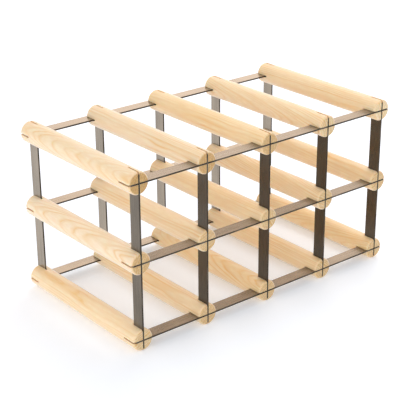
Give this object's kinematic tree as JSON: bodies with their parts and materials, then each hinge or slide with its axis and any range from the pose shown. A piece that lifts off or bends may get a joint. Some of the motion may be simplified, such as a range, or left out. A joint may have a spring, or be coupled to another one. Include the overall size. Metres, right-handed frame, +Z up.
{
  "type": "wine rack",
  "caption": "Countertop wine rack of round pine rails held between upright and crossing flat steel strips, with open square cells that bottles lie in.",
  "frame": {"origin": "on the ground, under the middle of the rack's width and depth", "axes": "+X along the rack's width, -Y towards the front, where the bottle necks point, +Y towards the back, +Z up"},
  "size_m": [0.42, 0.228, 0.226],
  "materials": {
    "pine": "bare sanded pine, satin",
    "steel_strip": "dark, warm grey cold rolled steel, satin, with dull, nearly black slit edges"
  },
  "bodies": {
    "root": {"rail_bottom_1": "pine", "rail_bottom_2": "pine", "rail_bottom_3": "pine", "rail_bottom_4": "pine", "rail_bottom_5": "pine", "rail_middle_1": "pine", "rail_middle_2": "pine", "rail_middle_3": "pine", "rail_middle_4": "pine", "rail_middle_5": "pine", "rail_top_1": "pine", "rail_top_2": "pine", "rail_top_3": "pine", "rail_top_4": "pine", "rail_top_5": "pine", "front_upright_1": "steel_strip", "front_upright_2": "steel_strip", "front_upright_3": "steel_strip", "front_upright_4": "steel_strip", "front_upright_5": "steel_strip", "back_upright_1": "steel_strip", "back_upright_2": "steel_strip", "back_upright_3": "steel_strip", "back_upright_4": "steel_strip", "back_upright_5": "steel_strip", "front_cross_strip_bottom": "steel_strip", "front_cross_strip_middle": "steel_strip", "front_cross_strip_top": "steel_strip", "back_cross_strip_bottom": "steel_strip", "back_cross_strip_middle": "steel_strip", "back_cross_strip_top": "steel_strip"}
  },
  "joints": []
}
